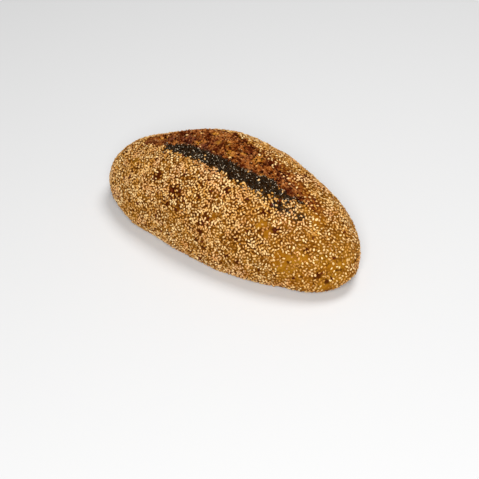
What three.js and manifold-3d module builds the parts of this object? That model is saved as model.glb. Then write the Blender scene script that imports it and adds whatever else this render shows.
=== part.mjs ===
// Vienna loaf: an oval hearth loaf with one lengthwise slash that tore open in the oven.
// Millimetres, +Z up, standing on the table plane Z = 0.
// +X runs along the loaf to its narrower end, +Y to the flank behind the torn opening.

import * as THREE from "three";
import Module from "manifold-3d";
import { mergeVertices } from "three/addons/utils/BufferGeometryUtils.js";

// Driving dimensions of the baked loaf.
const LENGTH = 270;
const WIDTH = 132;
const HEIGHT = 85.9;
const WAIST_HEIGHT = 20.3; // height of the widest line, and of both tips, above the table
const UNDERSIDE_DEPTH = 1.8 * WAIST_HEIGHT; // the round underside before the table flattens it
const BOW = -3.8; // both ends lie this far to the side of the middle
const SECTION_ROUNDNESS = 2 / 2.25; // 1 is an ellipse, less is squarer

// How full each end is, in plan and from the side, and how far its tip leans to the side.
const BLUNT_END = { plan: 2.33, crown: 1.67, lean: -7.2 };
const NARROW_END = { plan: 1.84, crown: 1.6, lean: -3.5 };
const UNDERSIDE_FULLNESS = 3;
const TIP_FADE_POWER = 2; // swells and relief die out into the tips

// Broad swells and hollows that the hands and the oven left. "angle" is degrees round the
// section, from 0 on the far flank, over 90 on the crown, to 180 on the near flank.
const SWELLS = [
  { x: -38, angle: 52, alongReach: 18, angleReach: 22, height: 2.2 },
  { x: -94, angle: 56, alongReach: 24, angleReach: 26, height: -2.4 },
  { x: -12, angle: 58, alongReach: 14, angleReach: 24, height: 1.6 },
  { x: 112, angle: 18, alongReach: 18, angleReach: 24, height: 2.2 },
  { x: 52, angle: 50, alongReach: 24, angleReach: 28, height: -0.8 },
  { x: -84, angle: 200, alongReach: 18, angleReach: 26, height: 2.4 },
  { x: -46, angle: 200, alongReach: 12, angleReach: 26, height: -0.8 },
  { x: 24, angle: 210, alongReach: 22, angleReach: 24, height: 1.2 },
  { x: 86, angle: 202, alongReach: 13, angleReach: 28, height: -2 },
  { x: 118, angle: 214, alongReach: 14, angleReach: 28, height: 3.2 },
  { x: -20, angle: 150, alongReach: 20, angleReach: 20, height: 1.2 },
  { x: 84, angle: 158, alongReach: 26, angleReach: 30, height: 1.6 },
  { x: -118, angle: 95, alongReach: 16, angleReach: 34, height: 5.2 },
];

// The torn opening, seen from above: its two edges from the blunt end's tip to the other.
const OPENING_STATIONS = [-100, -72, -34, 6, 45, 78];
const NEAR_EDGE = [-8, -12, -10.5, -10.5, -8.5, -6];
const FAR_EDGE = [-4, 25, 32, 21.5, 8.5, -3];
const OPENING_MIN_WIDTH = 7; // spacing kept between the two edge lines past the tips
const OUTERMOST_SHARE = 0.8; // and how near the flank they may run, as a share of half the width
const FADE_AT_BLUNT_TIP = 22; // the relief dies out over this length at each tip
const FADE_AT_NARROW_TIP = 46;

// Relief of the opening: a lifted lip, the gully under it, and the torn crust that climbs
// out of the gully to the far edge.
const LIP_RISE = 1.9;
const LIP_REACH = 11;
const GULLY_DEPTH = 3.6;
const GULLY_POWER = 2.2;
const WALL_REACH = 2.6;
const FAR_STEP = 1.7;
const FAR_STEP_REACH = 4;
const TORN_CROWN = 2;
const STRANDS = 3; // torn ridges that run along the opening
const STRAND_HEIGHT = 0.6;

// Facets: stations along the loaf, and steps round the section between its guide lines.
const STATIONS = 82;
const UNDERSIDE_STEPS = 3;
const BELLY_STEPS = 6;
const FAR_FLANK_STEPS = 10;
const OPENING_STEPS = 13;
const NEAR_FLANK_STEPS = 16;
const OPENING_CROWDING = 1.35; // steps crowd towards the lifted lip
const FAR_SIDE_ANGLE = -8;
const NEAR_SIDE_ANGLE = 188;
const TABLE_ANGLE = -34; // just under the line where the table plane cuts the section
const BOTTOM_ANGLE = -90;
const HALF_TURN = 180;

const CRUST_COLOUR = 0xb5783a;
const CRUST_ROUGHNESS = 0.75;

const { clamp, degToRad, lerp, radToDeg, smoothstep } = THREE.MathUtils;

const nearEdgeCurve = new THREE.CubicInterpolant(OPENING_STATIONS, NEAR_EDGE, 1);
const farEdgeCurve = new THREE.CubicInterpolant(OPENING_STATIONS, FAR_EDGE, 1);

// The loaf without its opening.

function endAt(x) {
  return x < 0 ? BLUNT_END : NARROW_END;
}

function fullness(x, power) {
  const fromMiddle = Math.min(1, Math.abs(x) / (LENGTH / 2));
  return Math.sqrt(Math.max(0, 1 - fromMiddle ** power));
}

function centreLine(x) {
  const fromMiddle = Math.abs(x) / (LENGTH / 2);
  return BOW * fromMiddle ** 2 + endAt(x).lean * fromMiddle ** 3;
}

function halfWidth(x) {
  return (WIDTH / 2) * fullness(x, endAt(x).plan);
}

function squared(value) {
  return Math.sign(value) * Math.abs(value) ** SECTION_ROUNDNESS;
}

function bell(distance, reach) {
  return Math.exp(-((distance / reach) ** 2));
}

function swelling(x, angle) {
  return SWELLS.reduce((height, swell) => {
    const along = bell(x - swell.x, swell.alongReach);
    return height + swell.height * along * bell(angle - swell.angle, swell.angleReach);
  }, 0);
}

// The opening in the crown.

function openingEdges(x) {
  const station = clamp(x, OPENING_STATIONS[0], OPENING_STATIONS.at(-1));
  const near = nearEdgeCurve.evaluate(station)[0];
  const far = farEdgeCurve.evaluate(station)[0];
  const middle = (near + far) / 2;
  const half = Math.max(far - near, OPENING_MIN_WIDTH) / 2;
  return { near: middle - half, far: middle + half };
}

function openingFade(x) {
  const start = OPENING_STATIONS[0];
  const end = OPENING_STATIONS.at(-1);
  const opens = smoothstep(x, start, start + FADE_AT_BLUNT_TIP);
  return opens * (1 - smoothstep(x, end - FADE_AT_NARROW_TIP, end));
}

function openingRelief(x, y) {
  const { near, far } = openingEdges(x);
  const pastLip = y - near;
  const beforeFarEdge = far - y;
  const across = clamp(pastLip / (far - near), 0, 1);
  const lip = LIP_RISE * bell(Math.min(pastLip, 0), LIP_REACH);
  const wall = smoothstep(pastLip, 0, WALL_REACH);
  const farWall = smoothstep(beforeFarEdge, 0, FAR_STEP_REACH);
  const gully = (GULLY_DEPTH + LIP_RISE) * (1 - across) ** GULLY_POWER;
  const strands = STRAND_HEIGHT * Math.sin(2 * Math.PI * STRANDS * across);
  const torn = TORN_CROWN * Math.sin(Math.PI * across) - gully - FAR_STEP + strands;
  return openingFade(x) * (lip * (1 - across) + wall * farWall * torn);
}

// Points of the surface.

function surfacePoint(x, angle) {
  const turn = degToRad(angle);
  const crown = (HEIGHT - WAIST_HEIGHT) * fullness(x, endAt(x).crown);
  const underside = UNDERSIDE_DEPTH * fullness(x, UNDERSIDE_FULLNESS);
  const rise = Math.sin(turn) > 0 ? crown : underside;
  const sideways = halfWidth(x) * squared(Math.cos(turn));
  const upwards = rise * squared(Math.sin(turn));
  const y = centreLine(x) + sideways;
  const outwards = new THREE.Vector2(sideways, upwards).normalize();
  const fade = fullness(x, TIP_FADE_POWER);
  const relief = Math.sin(turn) > 0 ? openingRelief(x, y) : 0;
  const lift = fade * (swelling(x, angle) + relief);
  return new THREE.Vector3(x, y + outwards.x * lift, WAIST_HEIGHT + upwards + outwards.y * lift);
}

function angleAcross(x, y) {
  const share = clamp((y - centreLine(x)) / halfWidth(x), -OUTERMOST_SHARE, OUTERMOST_SHARE);
  const cosine = Math.sign(share) * Math.abs(share) ** (1 / SECTION_ROUNDNESS);
  return radToDeg(Math.acos(cosine));
}

function spread(from, to, steps, crowding = 1) {
  const reached = (step) => 1 - (1 - step / steps) ** crowding;
  return Array.from({ length: steps }, (_, step) => lerp(from, to, reached(step)));
}

function sectionAngles(x) {
  const { near, far } = openingEdges(x);
  const farEdge = angleAcross(x, far);
  const nearEdge = angleAcross(x, near);
  return [
    ...spread(BOTTOM_ANGLE, TABLE_ANGLE, UNDERSIDE_STEPS),
    ...spread(TABLE_ANGLE, FAR_SIDE_ANGLE, BELLY_STEPS),
    ...spread(FAR_SIDE_ANGLE, farEdge, FAR_FLANK_STEPS),
    ...spread(farEdge, nearEdge, OPENING_STEPS, OPENING_CROWDING),
    ...spread(nearEdge, NEAR_SIDE_ANGLE, NEAR_FLANK_STEPS),
    ...spread(NEAR_SIDE_ANGLE, HALF_TURN - TABLE_ANGLE, BELLY_STEPS),
    ...spread(HALF_TURN - TABLE_ANGLE, HALF_TURN - BOTTOM_ANGLE, UNDERSIDE_STEPS),
  ];
}

// One closed skin of triangles over all stations, with a single point at each tip.
function skinOfLoaf() {
  const points = [surfacePoint(-LENGTH / 2, 0)];
  for (let station = 1; station < STATIONS; station += 1) {
    const x = (-LENGTH / 2) * Math.cos((Math.PI * station) / STATIONS);
    sectionAngles(x).forEach((angle) => points.push(surfacePoint(x, angle)));
  }
  points.push(surfacePoint(LENGTH / 2, 0));
  const round = (points.length - 2) / (STATIONS - 1);
  const at = (station, step) => 1 + station * round + (step % round);
  const triangles = [];
  for (let step = 0; step < round; step += 1) {
    triangles.push(0, at(0, step + 1), at(0, step));
    for (let station = 0; station < STATIONS - 2; station += 1) {
      const corners = [at(station, step), at(station, step + 1)];
      const next = [at(station + 1, step), at(station + 1, step + 1)];
      triangles.push(corners[0], corners[1], next[1], corners[0], next[1], next[0]);
    }
    triangles.push(points.length - 1, at(STATIONS - 2, step), at(STATIONS - 2, step + 1));
  }
  const skin = new THREE.BufferGeometry().setFromPoints(points);
  skin.setIndex(triangles);
  return skin;
}

// Solids for the boolean cut.

function toSolid(wasm, geometry) {
  geometry.deleteAttribute("normal");
  geometry.deleteAttribute("uv");
  const merged = mergeVertices(geometry);
  return new wasm.Manifold(
    new wasm.Mesh({
      numProp: 3,
      vertProperties: Float32Array.from(merged.attributes.position.array),
      triVerts: Uint32Array.from(merged.index.array),
    }),
  );
}

function toGeometry(solid) {
  const mesh = solid.getMesh();
  const geometry = new THREE.BufferGeometry();
  geometry.setAttribute("position", new THREE.BufferAttribute(mesh.vertProperties, mesh.numProp));
  geometry.setIndex(new THREE.BufferAttribute(mesh.triVerts, 1));
  return geometry;
}

// The oven floor bakes the underside flat: everything below Z = 0 is cut away.
function bakedFlat(wasm, skin) {
  const floor = new THREE.BoxGeometry(2 * LENGTH, 2 * WIDTH, HEIGHT);
  floor.translate(0, 0, -HEIGHT / 2);
  return toGeometry(toSolid(wasm, skin).subtract(toSolid(wasm, floor)));
}

function centredOnFootprint(geometry) {
  geometry.computeBoundingBox();
  const centre = geometry.boundingBox.getCenter(new THREE.Vector3());
  geometry.translate(-centre.x, -centre.y, 0);
  return geometry;
}

const wasm = await Module();
wasm.setup();

const crust = new THREE.MeshStandardMaterial({
  color: CRUST_COLOUR,
  roughness: CRUST_ROUGHNESS,
  metalness: 0,
});
const loaf = new THREE.Mesh(centredOnFootprint(bakedFlat(wasm, skinOfLoaf())), crust);
loaf.name = "loaf";

const part = new THREE.Group();
part.add(loaf);

export default part;
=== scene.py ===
import math

import bpy
import numpy as np
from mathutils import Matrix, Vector, kdtree, noise


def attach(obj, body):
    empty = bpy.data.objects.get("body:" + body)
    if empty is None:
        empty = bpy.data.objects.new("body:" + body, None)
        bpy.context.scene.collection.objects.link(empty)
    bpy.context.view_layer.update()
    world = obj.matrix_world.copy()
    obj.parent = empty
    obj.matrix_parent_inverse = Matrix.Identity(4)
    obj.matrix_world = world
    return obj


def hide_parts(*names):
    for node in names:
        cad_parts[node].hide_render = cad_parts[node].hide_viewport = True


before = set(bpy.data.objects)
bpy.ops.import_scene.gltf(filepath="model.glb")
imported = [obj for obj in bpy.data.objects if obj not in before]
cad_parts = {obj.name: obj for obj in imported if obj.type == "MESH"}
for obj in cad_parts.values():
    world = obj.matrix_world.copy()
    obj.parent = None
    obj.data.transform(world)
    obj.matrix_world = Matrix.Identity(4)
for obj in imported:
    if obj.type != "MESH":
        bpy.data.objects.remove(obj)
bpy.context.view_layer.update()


# ---------------------------------------------------------------------------------------
# The loaf: one piece of dough, shaped to an oval, slashed once along its crown and baked
# on the oven floor. The skin browned golden, and the slash tore open into rough, redder
# crust, with the dough's skin lifted as a lip along the near side of the tear.
# ---------------------------------------------------------------------------------------

MM = 0.001

# The torn opening from above, as in the solid: stations along the loaf, and its two edges.
OPENING_STATIONS = np.array([-100.0, -72.0, -34.0, 6.0, 45.0, 78.0])
NEAR_EDGE = np.array([-8.0, -12.0, -10.5, -10.5, -8.5, -6.0])
FAR_EDGE = np.array([-4.0, 25.0, 32.0, 21.5, 8.5, -3.0])
TORN_REGION_LOW = 45.0  # the opening lies above this height
LIP_RAGGEDNESS = 1.2  # how far its near edge strays, in mm
FAR_RAGGEDNESS = 3.6
END_RAGGEDNESS = 4.0
TORN_LEAST = 0.01  # from this share on, a place counts as torn

# Along the near edge: how far the torn crust wraps over the lip, and how far out the strip
# of poppy seeds beyond it reaches.
BAND_STATIONS = np.array([-72, -62, -44, -22, 10, 30, 37, 41, 48, 60, 68, 80], float)
LIP_WIDTHS = np.array([6, 5.4, 2.4, 2.6, 4.8, 3.6, 2.6, -3, -1.5, 5, 3.5, 1.5])
BAND_WIDTHS = np.array([0, 8.5, 12.6, 14.6, 16.4, 16.6, 17, 17, 15.5, 10.5, 8.5, 1])

CRUST_VOXEL = 1.32
CRUST_SMOOTHING = 5
TORN_CUTS = 2
MERGE_DISTANCE = 0.001
BASE_TOP = 0.2  # the flat underside's faces lie below this height
BASE_KEPT = 0.12  # the share of them that stays


def select_only(piece):
    bpy.ops.object.select_all(action="DESELECT")
    piece.select_set(True)
    bpy.context.view_layer.objects.active = piece


def apply_modifier(piece, kind, **settings):
    modifier = piece.modifiers.new(kind.lower(), kind)
    for name, value in settings.items():
        setattr(modifier, name, value)
    select_only(piece)
    bpy.ops.object.modifier_apply(modifier=modifier.name)


def edit(piece):
    select_only(piece)
    bpy.ops.object.mode_set(mode="EDIT")
    bpy.ops.mesh.select_mode(type="FACE")


def vertex_places(mesh):
    places = np.empty(len(mesh.vertices) * 3)
    mesh.vertices.foreach_get("co", places)
    return places.reshape(-1, 3) / MM


def vertex_normals(mesh):
    normals = np.empty(len(mesh.vertices) * 3)
    mesh.vertex_normals.foreach_get("vector", normals)
    return normals.reshape(-1, 3)


def line_through(x, stations, values):
    """A smooth line through the points, the same curve as the solid's."""
    secants = np.diff(values) / np.diff(stations)
    slopes = np.concatenate([secants[:1], (secants[1:] + secants[:-1]) / 2, secants[-1:]])
    left = np.clip(np.searchsorted(stations, x) - 1, 0, len(secants) - 1)
    span = stations[left + 1] - stations[left]
    t = np.clip((x - stations[left]) / span, 0, 1)
    rise = 3 * t**2 - 2 * t**3
    bend = slopes[left] * (t**3 - 2 * t**2 + t) + slopes[left + 1] * (t**3 - t**2)
    return values[left] * (1 - rise) + values[left + 1] * rise + span * bend


def smoothstep(value, start, end):
    t = np.clip((value - start) / (end - start), 0, 1)
    return t * t * (3 - 2 * t)


def grain(points, size, octaves=2, seed=0):
    """Fractal noise at each point, about -1 to 1, with lumps about this many mm across."""
    shift = Vector((7.3, -3.1, 5.7)) * seed
    scaled = points / size
    return np.array([noise.fractal(Vector(p) + shift, 1, 2, octaves) for p in scaled])


def blisters(points, pitch, seed):
    """Round domes, 0 to 1, one in each cell of about this pitch in mm, of uneven size."""
    shift = Vector((1.7, 9.2, -4.4)) * seed
    heights = np.empty(len(points))
    for index, point in enumerate(points / pitch):
        distances, centres = noise.voronoi(Vector(point) + shift)
        reach = 0.34 + 0.22 * noise.noise(centres[0] * 3.7)
        heights[index] = max(0.0, 1 - (distances[0] / reach) ** 2)
    return heights


node_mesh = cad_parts["loaf"].data
loaf = bpy.data.objects.new("loaf_crust", node_mesh.copy())
bpy.context.scene.collection.objects.link(loaf)
edit(loaf)
bpy.ops.mesh.select_all(action="SELECT")
bpy.ops.mesh.remove_doubles(threshold=MERGE_DISTANCE * MM)
bpy.ops.object.mode_set(mode="OBJECT")
apply_modifier(loaf, "REMESH", mode="VOXEL", voxel_size=CRUST_VOXEL * MM)
apply_modifier(loaf, "SMOOTH", factor=0.5, iterations=CRUST_SMOOTHING)


def opening_places(points):
    """How far in mm each point is past the near edge, and short of the far one and the ends."""
    x = points[:, 0]
    inside = np.clip(x, OPENING_STATIONS[0], OPENING_STATIONS[-1])
    near = line_through(inside, OPENING_STATIONS, NEAR_EDGE)
    far = line_through(inside, OPENING_STATIONS, FAR_EDGE)
    past_ends = np.maximum(OPENING_STATIONS[0] - x, x - OPENING_STATIONS[-1])
    return points[:, 1] - near, far - points[:, 1], -past_ends


def past_lip(points, widths):
    """How far each point is past a line that runs this far outside the near edge."""
    past_near, _, _ = opening_places(points)
    along = np.clip(points[:, 0], BAND_STATIONS[0], BAND_STATIONS[-1])
    return past_near + line_through(along, BAND_STATIONS, widths)


def edge_grain(points):
    """The noise that makes the edges of the opening stray."""
    return grain(points, 7, 3, seed=3)


def torn_share(points):
    """1 on the torn crust, 0 on the dough's skin, with a ragged border between them."""
    _, short_of_far, short_of_ends = opening_places(points)
    ragged = edge_grain(points)
    near_side = smoothstep(past_lip(points, LIP_WIDTHS) + LIP_RAGGEDNESS * ragged, -0.8, 0.8)
    spread = 3 * smoothstep(points[:, 0], 30, 50)
    far_side = smoothstep(short_of_far + spread + FAR_RAGGEDNESS * ragged, -1.2, 1.2)
    ends = smoothstep(short_of_ends + END_RAGGEDNESS * ragged, -2.0, 2.0)
    above = points[:, 2] > TORN_REGION_LOW
    return near_side * far_side * ends * above


def face_centres(mesh):
    centres = np.empty(len(mesh.polygons) * 3)
    mesh.polygons.foreach_get("center", centres)
    return centres.reshape(-1, 3) / MM


def edit_faces(piece, chosen):
    """Enters edit mode with only these faces selected."""
    edit(piece)
    bpy.ops.mesh.select_all(action="DESELECT")
    bpy.ops.object.mode_set(mode="OBJECT")
    piece.data.polygons.foreach_set("select", chosen)
    bpy.ops.object.mode_set(mode="EDIT")


# The flat underside needs few faces. The torn crust is finer in its relief than the skin,
# so its faces are split.
edit_faces(loaf, face_centres(loaf.data)[:, 2] < BASE_TOP)
bpy.ops.mesh.decimate(ratio=BASE_KEPT)
bpy.ops.object.mode_set(mode="OBJECT")
edit_faces(loaf, torn_share(face_centres(loaf.data)) > TORN_LEAST)
bpy.ops.mesh.subdivide(number_cuts=TORN_CUTS)
bpy.ops.object.mode_set(mode="OBJECT")


def off_line(points, line):
    """How far each point is from a line through a few places, in mm."""
    line = np.array(line, float)
    nearest = np.full(len(points), np.inf)
    for start, end in zip(line[:-1], line[1:]):
        leg = end - start
        along = np.clip((points - start) @ leg / (leg @ leg), 0, 1)
        gap = np.linalg.norm(points - start - along[:, None] * leg, axis=1)
        nearest = np.minimum(nearest, gap)
    return nearest


def ruddy_share(points):
    """1 on the skin past the far edge and the narrow end of the tear, which is ruddier."""
    past_near, short_of_far, _ = opening_places(points)
    past_far = -short_of_far
    along = smoothstep(points[:, 0], 5, 35) * (1 - smoothstep(points[:, 0], 86, 102))
    across = smoothstep(past_near, -1, 3) * (1 - smoothstep(past_far, 5, 15))
    return along * across * (points[:, 2] > TORN_REGION_LOW)


# Where the dough's skin folded while it was shaped: a crease, and two shallow valleys, each
# as its depth, its reach to either side, and the line that it follows.
CREASES = [
    (1.4, 1.5, [(-34, -52, 63), (-28, -54, 62), (-22, -58, 58), (-14, -60, 52), (-7, -63, 47)]),
    (0.8, 2.0, [(-2, -57, 59), (4, -56, 61), (10, -53, 63), (17, -50, 66), (22, -47, 68)]),
    (0.6, 2.5, [(25, -47, 67), (33, -48, 65), (43, -48, 62)]),
]

# Relief of the whole crust, in mm along the surface's normal.
places = vertex_places(loaf.data)
normals = vertex_normals(loaf.data)
torn = torn_share(places)
past_near, short_of_far, short_of_ends = opening_places(places)
above_table = smoothstep(places[:, 2], 0.4, 5.0)

DOUGH_LUMPS = 0.9
SKIN_LUMPS = 0.5
SKIN_GRAIN = 0.15
RUDDY_GRAIN = 0.3
relief = DOUGH_LUMPS * grain(places, 26, 2, seed=1) + SKIN_LUMPS * grain(places, 8, 3, seed=2)
rough = SKIN_GRAIN + RUDDY_GRAIN * ruddy_share(places)
relief += rough * grain(places, 2.4, 3, seed=4) * (1 - torn)
for depth, reach, line in CREASES:
    relief -= depth * np.exp(-((off_line(places, line) / reach) ** 2))

# Torn strands run along the opening. Blisters, clots and pits lie over them, and the skin
# of the far edge stands a little above a groove.
STRAND_STRETCH = 2.4
GROOVE_INSET = 2.5
GROOVE_REACH = 2.0
in_tear = np.flatnonzero(torn > TORN_LEAST)
tear_places = places[in_tear]
drawn_out = tear_places / (STRAND_STRETCH, 1, 1)
strands = 1 - 2 * np.abs(grain(drawn_out, 7, 3, seed=5))
bubbles = blisters(tear_places, 7, seed=1)
pockets = blisters(tear_places, 8.5, seed=2)
clots = blisters(tear_places, 2.6, seed=3)
pits = blisters(tear_places, 3.4, seed=4)
crumbs = grain(tear_places, 1.6, 3, seed=6)
groove = np.exp(-(((short_of_far[in_tear] - GROOVE_INSET) / GROOVE_REACH) ** 2))
groove *= (tear_places[:, 0] > -25) * (1 - smoothstep(tear_places[:, 0], 30, 50))
coarse = 1.2 * strands + 1.1 * bubbles - 1.7 * pockets - 1.4 * groove
fine = 0.6 * clots - 1.0 * pits + 0.5 * crumbs
relief[in_tear] += torn[in_tear] * (coarse + fine)

relief *= above_table
places += normals * relief[:, None]

# The underside rests on its rim and on a few low spots, with hollows up to 0.7 mm between.
underside = smoothstep(-normals[:, 2], 0.8, 0.99) * (1 - smoothstep(places[:, 2], 0.1, 0.8))
places[:, 2] = np.maximum(places[:, 2], 0)
places[:, 2] += underside * np.clip(0.3 + 0.5 * grain(places, 11, 3, seed=9), 0, 0.7)
loaf.data.vertices.foreach_set("co", (places * MM).ravel())
loaf.data.update()
loaf.data.polygons.foreach_set("use_smooth", np.ones(len(loaf.data.polygons), bool))


def store(mesh, name, values):
    layer = mesh.attributes.new(name, "FLOAT", "POINT")
    layer.data.foreach_set("value", np.asarray(values, np.float32))


def lay_map(mesh, corner_places):
    """Gives the mesh the map that its colours are baked on, one place for each corner."""
    chart = mesh.uv_layers.new(name="OFBake")
    chart.uv.foreach_set("vector", np.asarray(corner_places, np.float32).ravel())


# The crust is charted from its crown outward, and the underside lies in a strip below. The
# centres and sizes of the two are shares of the map.
CHART_MIDDLE = (0, 0, 20)
CHART_REACH = (135, 66, 66)
DOME_CENTRE, DOME_SIZE = (0.5, 0.57), (0.49, 0.42)
STRIP_CENTRE, STRIP_SIZE = (0.5, 0.06), (-0.49, 0.055)
RIM_FALL = 0.84  # where the crust's rim lies on its round chart
STRIP_TOP = 0.9  # the strip takes the faces below this height

corner_points = np.empty(len(loaf.data.loops), np.int32)
loaf.data.loops.foreach_get("vertex_index", corner_points)
out = (places[corner_points] - CHART_MIDDLE) / CHART_REACH
fall = np.arccos(out[:, 2] / np.linalg.norm(out, axis=1))
round_crown = out[:, :2] / np.linalg.norm(out[:, :2], axis=1)[:, None]
on_dome = round_crown * np.sin(fall / 2)[:, None] / RIM_FALL * DOME_SIZE + DOME_CENTRE
on_strip = out[:, :2] * STRIP_SIZE + STRIP_CENTRE
corner_counts = np.empty(len(loaf.data.polygons), np.int32)
loaf.data.polygons.foreach_get("loop_total", corner_counts)
below = np.repeat(face_centres(loaf.data)[:, 2] < STRIP_TOP, corner_counts)[:, None]
lay_map(loaf.data, np.where(below, on_strip, on_dome))


# Beyond the end of the strip some poppy seeds lie among the sesame.
POPPY_PATCHES = [(67, -24, 71, 7), (75, -22, 69, 5), (53, -24, 75, 5), (85, -20, 64, 5)]


def band_share(points):
    """1 where the strip of poppy seeds lies, from the torn lip outward, with a loose edge."""
    _, _, short_of_ends = opening_places(points)
    loose = grain(points, 4, 3, seed=8)
    outer = smoothstep(past_lip(points, BAND_WIDTHS) + 3.4 * loose, -2.4, 1.8)
    torn_edge = past_lip(points, LIP_WIDTHS) + LIP_RAGGEDNESS * edge_grain(points)
    inner = 1 - smoothstep(torn_edge + 1.5 * loose, 0.0, 2.0)
    inside = (points[:, 0] > BAND_STATIONS[0]) & (short_of_ends > -5)
    return outer * inner * inside * (points[:, 2] > TORN_REGION_LOW)


def marked(points, marks):
    """1 near the marks, each (x, y, z, reach) or (x, y, reach) in mm, 0 away from them."""
    found = np.zeros(len(points))
    loose = 0.8 * grain(points, 2.5, 2, seed=10)
    for *centre, reach in marks:
        away = np.linalg.norm(points[:, : len(centre)] - centre, axis=1) / reach
        found = np.maximum(found, 1 - smoothstep(away + loose, 0.5, 1.3))
    return found


# Patches of skin that took hardly any seeds, and dark spots.
BARE = [
    (63, -44, 61, 6),
    (70, -46, 57, 5),
    (92, -49, 32, 7.5),
    (86, -50, 38, 7.5),
    (94, -46, 41, 5),
    (124, -28, 12, 8.5),
    (98, -10, 61, 6.5),
    (126, -25, 34, 5),
    (-91, -36, 58, 4),
    (-84, -58, 24, 4.5),
    (18, -56, 56, 4.5),
    (104, -38, 40, 4.5),
]
DARK_SPOTS = [
    (-29, -53, 62, 7),
    (-19, -57, 60, 3.4),
    (76, -41, 59, 4.2),
    (59, -36, 68, 3.9),
    (-54, -46, 63, 5.2),
    (63, -24, 72, 3.9),
    (20, -39, 74, 3.2),
    (8, -61, 49, 3.0),
    (10, -64, 40, 3.0),
    (6, -65, 32, 3.0),
    (-26, -66, 23, 3.0),
    (-32, -60, 51, 3.0),
    (44, -57, 47, 3.9),
    (38, -64, 27, 3.9),
    (50, -62, 25, 3.4),
    (15, -66, 27, 3.6),
    (104, -35, 47, 3.0),
    (118, -36, 27, 3.9),
    (124, -31, 21, 3.0),
]
# The same in the tear: paler blooms where the dough opened last, hollows darkened as
# painted shade, and a dull purple stretch beside the strip.
BLOOMS = [
    (21, 6, 6),
    (38, -9, 4),
    (-43, -1, 4.5),
    (-25, 6, 3),
    (-14, 7, 4),
    (-5, -3, 4.5),
    (-37, 18, 4.5),
    (-84, -2, 4),
    (6, 4, 3),
]
SHADED_HOLLOWS = [
    (-40, 11, 6),
    (6, 16, 4.5),
    (30, 12, 6),
    (45, 7, 5.5),
    (-19, 4, 4),
    (-77, -9, 5),
    (-70, 12, 5),
    (-28, -5, 3.5),
    (14, -10, 3.5),
    (64, -6, 5),
    (75, -7, 4),
    (-20, -4, 4.5),
    (-10, -8, 3.5),
    (1, -10, 3),
]
PURPLED = [(-55, 0, 8), (-46, -7, 7), (-36, -6, 7), (-22, -9, 5), (-10, -9, 4), (-74, -2, 4)]


def bare_share(points):
    """1 in the patches of skin that took hardly any seeds, 0 where they lie thick."""
    far_side = smoothstep(points[:, 1], 0, 30)
    elsewhere = smoothstep(grain(points, 12, 2, seed=11), 0.36, 0.6)
    return np.maximum(0.85 * marked(points, BARE), elsewhere * (0.3 + 0.6 * far_side))


def spots_and_crease_shade_share(points):
    """1 in the dark spots, and as painted shade at the bottom of the crease and the first
    valley.
    """
    crease, valley, _ = (off_line(points, line) for *_, line in CREASES)
    shade_in_crease = 0.8 * np.exp(-((crease / 1.7) ** 2))
    shade_in_valley = 0.7 * np.exp(-((valley / 1.5) ** 2))
    elsewhere = 0.9 * smoothstep(grain(points, 4, 2, seed=13), 0.5, 0.62)
    return np.maximum.reduce([marked(points, DARK_SPOTS), shade_in_crease, shade_in_valley, elsewhere])


def thin_share(points):
    """1 low on the narrower end, where the seeds lie thinner and the skin stays golden, and
    less above it and low on the rest of the loaf."""
    low = 1 - smoothstep(points[:, 2], 20, 60)
    return np.maximum(smoothstep(points[:, 0], 40, 110) * (0.4 + 0.6 * low), 0.42 * low)


store(loaf.data, "torn", torn)
store(loaf.data, "band", np.maximum(band_share(places), 0.7 * marked(places, POPPY_PATCHES)))
store(loaf.data, "bare", bare_share(places))
store(loaf.data, "thin", thin_share(places))
store(loaf.data, "ruddy", ruddy_share(places))
store(loaf.data, "spots_and_crease_shade", spots_and_crease_shade_share(places))
store(loaf.data, "underside", underside)
for name, values in (
    ("tear_coarse", coarse),
    ("tear_fine", fine),
    ("bloom", marked(tear_places, BLOOMS)),
    # Painted shade in the hollows and in the groove inside the far edge.
    ("hollow_shade", np.maximum(marked(tear_places, SHADED_HOLLOWS), groove)),
    ("purpled", marked(tear_places, PURPLED)),
):
    everywhere = np.zeros(len(places))
    everywhere[in_tear] = values
    store(loaf.data, name, everywhere)


class Number:
    """One number on a surface. Arithmetic on it adds Math nodes to its finish."""

    def __init__(self, finish, socket):
        self.finish = finish
        self.socket = socket

    def _math(self, operation, *numbers):
        values = dict(enumerate(numbers))
        return self.finish.number("ShaderNodeMath", {"operation": operation}, values, 0)

    def __add__(self, other):
        return self._math("ADD", self, other)

    def __sub__(self, other):
        return self._math("SUBTRACT", self, other)

    def __rsub__(self, other):
        return self._math("SUBTRACT", other, self)

    def __mul__(self, other):
        return self._math("MULTIPLY", self, other)

    __radd__ = __add__
    __rmul__ = __mul__

    def between(self, low, high):
        """0 below low, 1 above high, smooth between them."""
        values = {"Value": self, "From Min": low, "From Max": high}
        settings = {"interpolation_type": "SMOOTHSTEP"}
        return self.finish.number("ShaderNodeMapRange", settings, values, 0)


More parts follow.
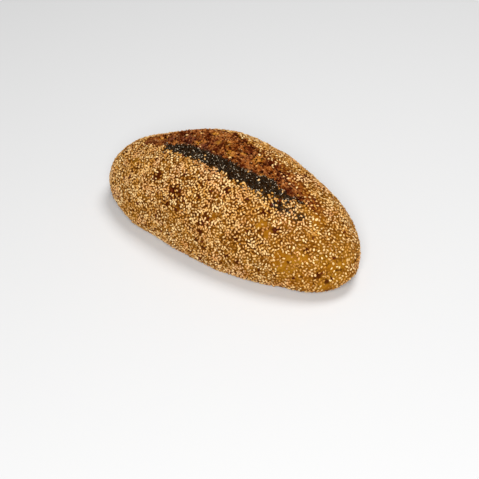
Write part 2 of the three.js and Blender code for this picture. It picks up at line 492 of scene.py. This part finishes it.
class Finish:
    """A material in the making: its nodes and its Principled shader."""

    def __init__(self, name, **uniform):
        self.material = bpy.data.materials.new(name)
        self.material.use_nodes = True
        self.tree = self.material.node_tree
        self.shader = self.tree.nodes["Principled BSDF"]
        for socket, value in uniform.items():
            self.shader.inputs[socket.replace("_", " ")].default_value = value

    def node(self, kind, settings, values):
        made = self.tree.nodes.new(kind)
        for name, value in settings.items():
            setattr(made, name, value)
        for key, value in values.items():
            if hasattr(value, "socket"):
                value = value.socket
            if isinstance(value, bpy.types.NodeSocket):
                self.tree.links.new(value, made.inputs[key])
            else:
                made.inputs[key].default_value = value
        return made

    def number(self, kind, settings, values, output):
        return Number(self, self.node(kind, settings, values).outputs[output])

    def attribute(self, name):
        return self.number("ShaderNodeAttribute", {"attribute_name": name}, {}, "Fac")

    def noise(self, size, detail=3.0, roughness=0.5, seed=0.0):
        """Noise from 0 to 1, with features about this many mm across."""
        coordinates = self.node("ShaderNodeTexCoord", {}, {}).outputs["Object"]
        scale = [1 / (size * MM)] * 3
        place = {"Vector": coordinates, "Scale": scale, "Location": (seed, -seed, 2 * seed)}
        mapped = self.node("ShaderNodeMapping", {}, place).outputs["Vector"]
        values = {"Vector": mapped, "Scale": 1.0, "Detail": detail, "Roughness": roughness}
        return self.number("ShaderNodeTexNoise", {}, values, "Fac")

    def mix(self, share, first, second):
        """first where share is 0, second where it is 1; both are colours."""
        values = {0: share, 6: first, 7: second}
        return self.node("ShaderNodeMix", {"data_type": "RGBA"}, values).outputs[2]

    def paint(self, socket, value):
        if hasattr(value, "socket"):
            value = value.socket
        self.tree.links.new(value, self.shader.inputs[socket])

    def bump(self, height, strength, depth):
        """Fine relief of this depth in mm."""
        values = {"Height": height, "Strength": strength, "Distance": depth * MM}
        self.paint("Normal", self.node("ShaderNodeBump", {}, values).outputs["Normal"])


def colour(red, green, blue):
    """A colour as it looks, 0 to 255 each, as the linear one that the shader wants."""
    parts = np.array([red, green, blue]) / 255
    linear = np.where(parts <= 0.04045, parts / 12.92, ((parts + 0.055) / 1.055) ** 2.4)
    return (*linear.tolist(), 1.0)


crust = Finish("baked_crust", Specular_IOR_Level=0.02)
patches = crust.noise(17).between(0.35, 0.65)
smudges = crust.noise(7, roughness=0.6, seed=8)
freckles = crust.noise(2.6, detail=4, roughness=0.6, seed=2)
pores = crust.noise(0.8, roughness=0.6, seed=5)
bare = crust.attribute("bare")

# The skin: golden where it is bare, and browner between the seeds, partly as painted shade.
gold = crust.mix(patches, colour(172, 120, 28), colour(150, 93, 13))
gold = crust.mix(freckles.between(0.42, 0.62) * 0.6, gold, colour(124, 68, 4))
gold = crust.mix(bare * 0.4, gold, colour(142, 86, 8))
brown = crust.mix(patches, colour(132, 80, 12), colour(104, 56, 2))
brown = crust.mix(freckles.between(0.42, 0.6) * 0.88, brown, colour(66, 26, 0))
brown = crust.mix(smudges.between(0.5, 0.66) * 0.45, brown, colour(102, 52, 4))
ruddy = crust.mix(freckles.between(0.38, 0.6), colour(142, 78, 24), colour(80, 28, 4))
skin = crust.mix(bare + 0.75 * crust.attribute("thin"), brown, gold)
skin = crust.mix(crust.attribute("ruddy") * smudges.between(0.3, 0.5), skin, ruddy)
# Dark spots, and painted shade at the bottom of the crease and the first valley.
skin = crust.mix(crust.attribute("spots_and_crease_shade") * 0.9, skin, colour(60, 12, 2))

# The torn crust: red-brown, with orange crests and pale peaks as painted light, painted shade
# in its hollows and pits, and pale blooms.
coarse_here = crust.attribute("tear_coarse")
fine_here = crust.attribute("tear_fine")
blush = crust.noise(9, seed=4)
mottle = crust.noise(3.2, roughness=0.6, seed=9)
tear = crust.mix(blush.between(0.4, 0.6), colour(132, 66, 14), colour(94, 36, 12))
tear = crust.mix(crust.attribute("bloom") * 0.9, tear, colour(196, 132, 40))
# Painted light: the crests of the coarse relief lighter orange.
tear = crust.mix(coarse_here.between(0.4, 1.8) * 0.55, tear, colour(184, 112, 50))
tear = crust.mix(mottle.between(0.5, 0.62) * 0.65, tear, colour(182, 116, 60))
# Painted highlight: the peaks of the fine relief pale.
tear = crust.mix(fine_here.between(0.15, 0.75) * 0.75, tear, colour(222, 162, 104))
tear = crust.mix(crust.attribute("purpled") * 0.7, tear, colour(98, 52, 44))
# Painted shade in the hollows and the groove.
tear = crust.mix(crust.attribute("hollow_shade") * 0.85, tear, colour(66, 14, 0))
# Painted shade where the coarse relief sinks.
tear = crust.mix(1 - coarse_here.between(-1.2, 0.3), tear, colour(52, 10, 0))
tear = crust.mix(1 - mottle.between(0.38, 0.5), tear, colour(66, 18, 0))
# Painted shade, darkest, in the pits of the fine relief.
tear = crust.mix(1 - fine_here.between(-0.6, 0.1), tear, colour(32, 4, 0))

# The underside: baked brown on the oven floor, with a bloom of flour.
base = crust.mix(patches, colour(176, 122, 60), colour(134, 80, 32))
base = crust.mix(smudges.between(0.5, 0.65) * 0.8, base, colour(96, 52, 20))
base = crust.mix(freckles.between(0.5, 0.7) * 0.6, base, colour(212, 178, 126))

surface = crust.mix(crust.attribute("torn"), skin, tear)
surface = crust.mix(crust.attribute("band") * 0.85, surface, colour(26, 16, 6))
surface = crust.mix(crust.attribute("underside"), surface, base)
crust.paint("Base Color", surface)
crust.paint("Roughness", 0.5 + 0.3 * freckles)
crust.bump(pores + freckles, strength=0.8, depth=0.5)

loaf.data.materials.clear()
loaf.data.materials.append(crust.material)
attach(loaf, "root")
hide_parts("loaf")


# ---------------------------------------------------------------------------------------
# Linseeds: a few were mixed with the sesame. They are flat drops of dark brown seed, over
# four millimetres long, and show as some of the darkest spots of the flank.
# ---------------------------------------------------------------------------------------

LINSEED_TRIES = 180
LINSEED_LENGTH = 2.1  # half of it, as for every seed here
LINSEED_WIDTH = 0.5  # as a share of the length, as the height is
LINSEED_HEIGHT = 0.24
LINSEED_TILT = 0.12

random = np.random.default_rng(20)


def scattered(piece, share_of, spacing_of, tries, laid=(), clear=0.0):
    """Random places on the piece, with normals, thick or thin as share_of says and no
    nearer to each other than spacing_of says, nor to the places in laid than clear.
    Both functions are asked of places in mm."""
    mesh = piece.data
    mesh.calc_loop_triangles()
    corners = np.empty(len(mesh.loop_triangles) * 3, np.int32)
    mesh.loop_triangles.foreach_get("vertices", corners)
    corners = corners.reshape(-1, 3)
    points = vertex_places(mesh)
    normals = vertex_normals(mesh)
    a, b, c = (points[corners[:, i]] for i in range(3))
    areas = np.linalg.norm(np.cross(b - a, c - a), axis=1)
    middles = (a + b + c) / 3
    wanted = areas * share_of(middles)
    chosen = random.choice(len(corners), tries, p=wanted / wanted.sum())
    u, v = random.random((2, tries))
    over = u + v > 1
    u[over], v[over] = 1 - u[over], 1 - v[over]
    weights = np.stack([1 - u - v, u, v], 1)[:, :, None]
    where = (points[corners[chosen]] * weights).sum(1)
    facing = (normals[corners[chosen]] * weights).sum(1)
    facing /= np.linalg.norm(facing, axis=1)[:, None]
    spacing = spacing_of(where)
    cell = spacing.max()
    earlier = kdtree.KDTree(len(laid))
    for index, point in enumerate(laid):
        earlier.insert(point, index)
    earlier.balance()
    free = [not len(laid) or earlier.find(point)[2] > clear for point in where]
    taken = {}
    kept = []
    for index, (point, gap) in enumerate(zip(where, spacing)):
        home = tuple((point // cell).astype(int))
        near = [
            other
            for i in (-1, 0, 1)
            for j in (-1, 0, 1)
            for k in (-1, 0, 1)
            for other in taken.get((home[0] + i, home[1] + j, home[2] + k), ())
        ]
        apart = all(((point - where[other]) ** 2).sum() > gap * gap for other in near)
        if apart and free[index]:
            taken.setdefault(home, []).append(index)
            kept.append(index)
    return where[kept], facing[kept]


def pip(ends, rings, corners):
    """One seed of unit half length along X, as points, triangles and their places on its
    map. rings are (place along the seed, half width, half height), corners are the angles
    of its cross section in degrees from its side, and it closes in a point at each end."""
    turn = np.radians(corners)
    sides = len(corners)
    points = [(ends[0], 0, 0)]
    for along, width, height in rings:
        points += [(along, width * math.cos(t), height * math.sin(t)) for t in turn]
    points.append((ends[1], 0, 0))
    tail = len(rings) + 1

    def corner(row, side):
        """A point's number, and its place on the map, where row 0 and tail are the ends."""
        if row in (0, tail):
            return (len(points) - 1) * (row > 0), (row / tail, 1 - (side + 0.5) / sides)
        return 1 + (row - 1) * sides + side % sides, (row / tail, 1 - side / sides)

    faces = []
    for side in range(sides):
        faces.append((corner(0, side), corner(1, side + 1), corner(1, side)))
        for row in range(1, tail - 1):
            here, across = corner(row, side), corner(row + 1, side + 1)
            faces.append((here, corner(row, side + 1), across))
            faces.append((here, across, corner(row + 1, side)))
        faces.append((corner(tail, side), corner(tail - 1, side), corner(tail - 1, side + 1)))
    numbers = np.array([[number for number, _ in face] for face in faces])
    chart = np.array([[place for _, place in face] for face in faces])
    return np.array(points, float), numbers, chart


def lie_on(where, facing, shape, sizes, sink, tilt):
    """Copies of shape, each turned at random about its normal, tilted a little, scaled
    by its row of sizes in mm and sunk into the crust, with none below the table."""
    count = len(where)
    spare = random.normal(size=(count, 3))
    along = np.cross(facing, spare)
    along /= np.linalg.norm(along, axis=1)[:, None]
    up = facing + tilt * random.normal(size=(count, 3))
    up -= along * (up * along).sum(1)[:, None]
    up /= np.linalg.norm(up, axis=1)[:, None]
    along = along + tilt * random.normal(size=count)[:, None] * up
    along /= np.linalg.norm(along, axis=1)[:, None]
    up = np.cross(along, np.cross(up, along))
    across = np.cross(up, along)
    axes = np.stack([along, across, up], 1) * sizes[:, :, None]
    points = np.einsum("pk,nkc->npc", shape, axes) + (where - sink[:, None] * facing)[:, None]
    points[:, :, 2] = np.maximum(points[:, :, 2], 0)
    return points


def joined(name, points, faces, chart, tones):
    """One piece of many copies: points is (copies, points, 3) in mm, and tones is named
    numbers that the finish reads, one for each copy or one for each point of a copy.
    Each copy's chart lies in a square of its own on the map."""
    copies, corners, _ = points.shape
    all_faces = (faces[None] + corners * np.arange(copies)[:, None, None]).reshape(-1, 3)
    mesh = bpy.data.meshes.new(name)
    mesh.vertices.add(copies * corners)
    mesh.vertices.foreach_set("co", (points * MM).ravel())
    mesh.loops.add(all_faces.size)
    mesh.loops.foreach_set("vertex_index", all_faces.ravel())
    mesh.polygons.add(len(all_faces))
    mesh.polygons.foreach_set("loop_start", np.arange(0, all_faces.size, 3))
    mesh.polygons.foreach_set("use_smooth", np.ones(len(all_faces), bool))
    mesh.update(calc_edges=True)
    columns = math.ceil(math.sqrt(copies))
    squares = np.stack([np.arange(copies) % columns, np.arange(copies) // columns], 1)
    lay_map(mesh, (squares[:, None, None] + 0.1 + 0.8 * chart) / columns)
    mesh.validate()
    for key, values in tones.items():
        each = np.repeat(values, corners) if len(values) == copies else np.tile(values, copies)
        store(mesh, key, each)
    piece = bpy.data.objects.new(name, mesh)
    bpy.context.scene.collection.objects.link(piece)
    return piece


def linseed_share(points):
    """Thin and even over the skin, and likelier at the first of the dark spots."""
    skin = (1 - torn_share(points)) * (1 - band_share(points)) * (points[:, 2] > 4)
    return skin * (0.03 + marked(points, DARK_SPOTS[:8]))


def linseed_spacing(points):
    return random.uniform(4, 24, len(points))


where, facing = scattered(loaf, linseed_share, linseed_spacing, LINSEED_TRIES)
laid = where
count = len(where)
linseed_shape, *linseed_faces = pip(
    (-1.0, 1.04),
    [(-0.86, 0.5, 0.6), (-0.4, 0.92, 0.95), (0.15, 0.98, 1.0), (0.68, 0.6, 0.7)],
    (-90, -30, 20, 60, 120, 160, 210),
)
length = random.normal(LINSEED_LENGTH, 0.15, count).clip(1.8, 2.5)
width = length * random.normal(LINSEED_WIDTH, 0.04, count)
height = length * random.normal(LINSEED_HEIGHT, 0.02, count)
sizes = np.stack([length, width, height], 1)
points = lie_on(where, facing, linseed_shape, sizes, -0.2 * height, LINSEED_TILT)
linseeds = joined("linseeds", points, *linseed_faces, {"tone": random.random(count)})

linseed = Finish("brown_linseed", Roughness=0.35, Specular_IOR_Level=0.06)
coat = linseed.mix(linseed.attribute("tone"), colour(72, 20, 4), colour(104, 42, 8))
darker = linseed.noise(1.4, detail=2, seed=4).between(0.4, 0.7)
coat = linseed.mix(darker * 0.5, coat, colour(50, 12, 0))
linseed.paint("Base Color", coat)
linseeds.data.materials.append(linseed.material)
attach(linseeds, "root")


# ---------------------------------------------------------------------------------------
# Sesame seeds: the damp dough was rolled in them before it proved, so they lie flat in
# the skin all over the flanks and ends, thinner where the dough was handled.
# ---------------------------------------------------------------------------------------

SESAME_TRIES = 56000
SESAME_SPACING = 1.99
SESAME_LEAST_SPACING = 1.6
SESAME_FROM_LINSEED = 1.9
SESAME_LENGTH = 1.58
SESAME_WIDTH = 0.7
SESAME_HEIGHT = 0.5
SESAME_TILT = 0.16


def sesame_share(points):
    """How likely a seed is here: all over the skin, few in the tear and on the strip."""
    band = band_share(points)
    skin = (1 - torn_share(points)) * (1 - band)
    _, short_of_far, _ = opening_places(points)
    far_side = smoothstep(points[:, 0], -20, 10) * (1 - smoothstep(short_of_far, 1, 7))
    mixed = 0.015 * band * smoothstep(points[:, 0], 38, 50)
    thinned = (1 - 0.8 * bare_share(points)) * (1 - 0.2 * thin_share(points))
    thinned *= (1 - 0.7 * spots_and_crease_shade_share(points)) * (1 - 0.4 * ruddy_share(points))
    thinned *= 1 - 0.62 * marked(points, POPPY_PATCHES)
    above = smoothstep(points[:, 2], 1.0, 2.5)
    spread = skin**3 * thinned**2.5 + mixed + 0.002 + 0.02 * far_side
    return (above + 0.015 * (points[:, 2] < 0.8)) * spread


def sesame_spacing(points):
    """Uneven, and wider where the seeds lie thin."""
    spacing = SESAME_SPACING + 0.6 * grain(points, 7, 3, seed=12) + 0.35 * thin_share(points)
    spacing += 1.1 * ruddy_share(points) + 0.08 * smoothstep(points[:, 0], 55, 105)
    return np.maximum(spacing * random.uniform(0.86, 1.1, len(points)), SESAME_LEAST_SPACING)


where, facing = scattered(
    loaf, sesame_share, sesame_spacing, SESAME_TRIES, laid, SESAME_FROM_LINSEED
)
laid = np.concatenate([laid, where])
count = len(where)
sesame_shape, *sesame_faces = pip(
    (-1.0, 1.02),
    [(-0.66, 0.74, 0.76), (-0.08, 1.0, 1.0), (0.58, 0.62, 0.7)],
    (-32, 50, 130, 212),
)
length = random.normal(SESAME_LENGTH, 0.16, count).clip(1.2, 2.0)
width = length * random.normal(SESAME_WIDTH, 0.06, count).clip(0.55, 0.85)
height = length * random.normal(SESAME_HEIGHT, 0.05, count).clip(0.38, 0.62)
sizes = np.stack([length, width, height], 1)
sink = random.normal(0.0, 0.12, count) - 0.2 * height
points = lie_on(where, facing, sesame_shape, sizes, sink, SESAME_TILT)
# Painted shade on each seed: 1 at its low edge, where it meets the crust, 0 on its top.
rim_shade = 1 - smoothstep(sesame_shape[:, 2], -0.5, 0.7)

# The seeds on the narrower end and the far flank are browner, and those that border the
# strip browner still. Further out beside it, and among the spilt poppy seeds, they are paler.
beyond = -past_lip(where, BAND_WIDTHS)
narrow_end = smoothstep(where[:, 0], 60, 115)
far_flank = smoothstep(where[:, 1], 5, 30)
bordering = np.exp(-(((beyond - 1.0) / 3.0) ** 2)) * (where[:, 2] > TORN_REGION_LOW)
further_out = np.exp(-(((beyond - 9.0) / 6.0) ** 2)) * smoothstep(where[:, 0], -15, 25)
further_out *= where[:, 2] > 50
browner = np.maximum(0.5 * narrow_end, 0.7 * far_flank) + 1.2 * bordering
paler = 0.25 * further_out + 0.2 * marked(where, POPPY_PATCHES)
tones = {"tone": random.random(count) ** (1 + browner - paler), "rim_shade": rim_shade}
seeds = joined("sesame_seeds", points, *sesame_faces, tones)

# Each hull has its own tone and painted shade round its rim, where it meets the crust, and
# whole patches of them were toasted more golden, pinker or browner.
sesame = Finish("toasted_sesame", Roughness=0.42, Specular_IOR_Level=0.06)
tone_here = sesame.attribute("tone")
golden_patches = sesame.noise(13, detail=2, seed=7).between(0.42, 0.6)
pinker_patches = sesame.noise(17, detail=2, seed=6).between(0.5, 0.66)
browner_patches = sesame.noise(24, detail=2, seed=3).between(0.5, 0.66)
mottling = sesame.noise(1.1, detail=2, seed=3).between(0.45, 0.75)
hull = sesame.mix(tone_here.between(0.05, 1.0), colour(162, 108, 40), colour(255, 219, 155))
hull = sesame.mix(golden_patches * 0.4, hull, colour(224, 160, 68))
hull = sesame.mix(pinker_patches * 0.3, hull, colour(248, 180, 130))
hull = sesame.mix(browner_patches * 0.3, hull, colour(196, 134, 56))
hull = sesame.mix(mottling * 0.35, hull, colour(200, 140, 56))
# Painted shade round each seed's rim.
hull = sesame.mix(sesame.attribute("rim_shade") * 0.95, hull, colour(112, 60, 2))
sesame.paint("Base Color", hull)
seeds.data.materials.append(sesame.material)
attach(seeds, "root")


# ---------------------------------------------------------------------------------------
# Poppy seeds: a strip of them was pressed on beside the slash, on what became the lip.
# They are nearly black, about a millimetre long, and lie shoulder to shoulder.
# ---------------------------------------------------------------------------------------

POPPY_TRIES = 15000
POPPY_FROM_OTHERS = 1.3
POPPY_LENGTH = 0.58
POPPY_WIDTH = 0.82
POPPY_HEIGHT = 0.74
POPPY_TILT = 0.3


def poppy_share(points):
    """Thick on the strip, with a few spilt beside it and hardly any elsewhere."""
    beyond = -past_lip(points, BAND_WIDTHS)
    beside = np.exp(-np.maximum(beyond, 0) / 2.5) * (points[:, 2] > TORN_REGION_LOW)
    spilt = beside * (0.45 + 0.3 * smoothstep(points[:, 0], 10, 45)) * (beyond > -2)
    patches = 0.9 * marked(points, POPPY_PATCHES)
    stretch = (points[:, 0] > BAND_STATIONS[0]) & (points[:, 0] < BAND_STATIONS[-1] + 4)
    return band_share(points) + np.maximum(patches, spilt * stretch) + 0.0005


def poppy_spacing(points):
    return random.uniform(0.72, 1.1, len(points))


where, facing = scattered(
    loaf, poppy_share, poppy_spacing, POPPY_TRIES, laid, POPPY_FROM_OTHERS
)
count = len(where)
poppy_shape, *poppy_faces = pip(
    (-1.0, 1.0), [(-0.45, 0.85, 0.85), (0.45, 0.9, 0.9)], (-90, -18, 54, 126, 198)
)
length = random.normal(POPPY_LENGTH, 0.06, count).clip(0.42, 0.75)
width = length * random.normal(POPPY_WIDTH, 0.05, count)
height = length * random.normal(POPPY_HEIGHT, 0.05, count)
sizes = np.stack([length, width, height], 1)
sink = random.normal(-0.35, 0.25, count)
points = lie_on(where, facing, poppy_shape, sizes, sink, POPPY_TILT)
poppy_seeds = joined("poppy_seeds", points, *poppy_faces, {"tone": random.random(count)})

poppy = Finish("poppy_seed", Roughness=0.42, Specular_IOR_Level=0.03)
tone_here = poppy.attribute("tone")
slate = poppy.mix(tone_here.between(0.2, 0.85), colour(7, 4, 1), colour(60, 53, 43))
# The palest seeds stand partly for pale seeds and bits of hull, partly for painted glints of
# light.
slate = poppy.mix(tone_here.between(0.86, 0.98), slate, colour(192, 176, 150))
poppy.paint("Base Color", slate)
poppy_seeds.data.materials.append(poppy.material)
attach(poppy_seeds, "root")


# ---------------------------------------------------------------------------------------
# Crumbs: flakes of the torn crust that broke off as it opened and lie loose in the tear.
# They are small angular bits, from half a millimetre to two across.
# ---------------------------------------------------------------------------------------

CRUMB_TRIES = 1400
CRUMB_TILT = 0.8


def crumb_spacing(points):
    return random.uniform(0.9, 3.5, len(points))


where, facing = scattered(loaf, torn_share, crumb_spacing, CRUMB_TRIES)
count = len(where)
crumb_shape, *crumb_faces = pip(
    (-1.0, 0.9), [(-0.5, 0.7, 0.8), (0.4, 0.9, 0.6)], (-80, 10, 100, 170)
)
size = random.lognormal(-0.5, 0.3, count).clip(0.35, 1.1)
sizes = size[:, None] * random.uniform(0.55, 1.0, (count, 3))
points = lie_on(where, facing, crumb_shape, sizes, -0.3 * size, CRUMB_TILT)
crumb_bits = joined("crust_crumbs", points, *crumb_faces, {"tone": random.random(count)})

flake = Finish("crust_flake", Roughness=0.7, Specular_IOR_Level=0.05)
tone_here = flake.attribute("tone")
toast = flake.mix(tone_here.between(0.0, 0.6), colour(92, 38, 10), colour(178, 110, 52))
toast = flake.mix(tone_here.between(0.6, 1.0), toast, colour(226, 172, 116))
flake.paint("Base Color", toast)
crumb_bits.data.materials.append(flake.material)
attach(crumb_bits, "root")


# ---------------------------------------------------------------------------------------
# The studio: a pale floor, a large soft lamp beside the camera, a softer one overhead, and
# a camera that looks down on the near flank.
# ---------------------------------------------------------------------------------------

FLOOR_SIZE = 12  # in metres

bpy.ops.mesh.primitive_plane_add(size=FLOOR_SIZE)
floor = bpy.context.active_object
floor.name = "floor"
floor.data.name = "floor"
grey = Finish("pale_floor", Roughness=0.8)
grey.shader.inputs["Base Color"].default_value = colour(217, 217, 217)
floor.data.materials.append(grey.material)

CAMERA_AZIMUTH = 37.8
CAMERA_ELEVATION = 38.4
CAMERA_DISTANCE = 1152.9
CAMERA_LENS = 93.3
CAMERA_TARGET = Vector((12.8, -10.9, 0))
LAMP_TARGET = Vector((0, 0, 30))
DAYLIGHT = 0.18


def towards(azimuth, elevation):
    """The direction of this angle in degrees: azimuth 0 is the near flank's side."""
    turn, rise = math.radians(azimuth), math.radians(elevation)
    flat = math.cos(rise)
    return Vector((math.sin(turn) * flat, -math.cos(turn) * flat, math.sin(rise)))


def aim(thing, target, azimuth, elevation, distance):
    """Puts a camera or a lamp at this angle and distance in mm, looking at the target."""
    back = towards(azimuth, elevation)
    thing.location = (target + back * distance) * MM
    thing.rotation_mode = "QUATERNION"
    thing.rotation_quaternion = (-back).to_track_quat("-Z", "Y")


camera = bpy.data.objects.new("camera", bpy.data.cameras.new("camera"))
bpy.context.scene.collection.objects.link(camera)
camera.data.lens = CAMERA_LENS
camera.data.sensor_width = 36.0
camera.data.clip_start = 0.01
camera.data.clip_end = 20
aim(camera, CAMERA_TARGET, CAMERA_AZIMUTH, CAMERA_ELEVATION, CAMERA_DISTANCE)
bpy.context.scene.camera = camera


def soft_light(name, azimuth, elevation, distance, size, watts):
    lamp = bpy.data.lights.new(name, "AREA")
    lamp.shape = "DISK"
    lamp.size = size * MM
    lamp.energy = watts
    light = bpy.data.objects.new(name, lamp)
    bpy.context.scene.collection.objects.link(light)
    aim(light, LAMP_TARGET, azimuth, elevation, distance)


soft_light("front", 36, 39, 2400, 1100, 56)
soft_light("top", 160, 75, 1800, 850, 18)

world = bpy.data.worlds.new("studio")
world.use_nodes = True
background = world.node_tree.nodes["Background"]
background.inputs["Color"].default_value = (1, 1, 1, 1)
background.inputs["Strength"].default_value = DAYLIGHT
bpy.context.scene.world = world
bpy.context.scene.view_settings.view_transform = "Standard"
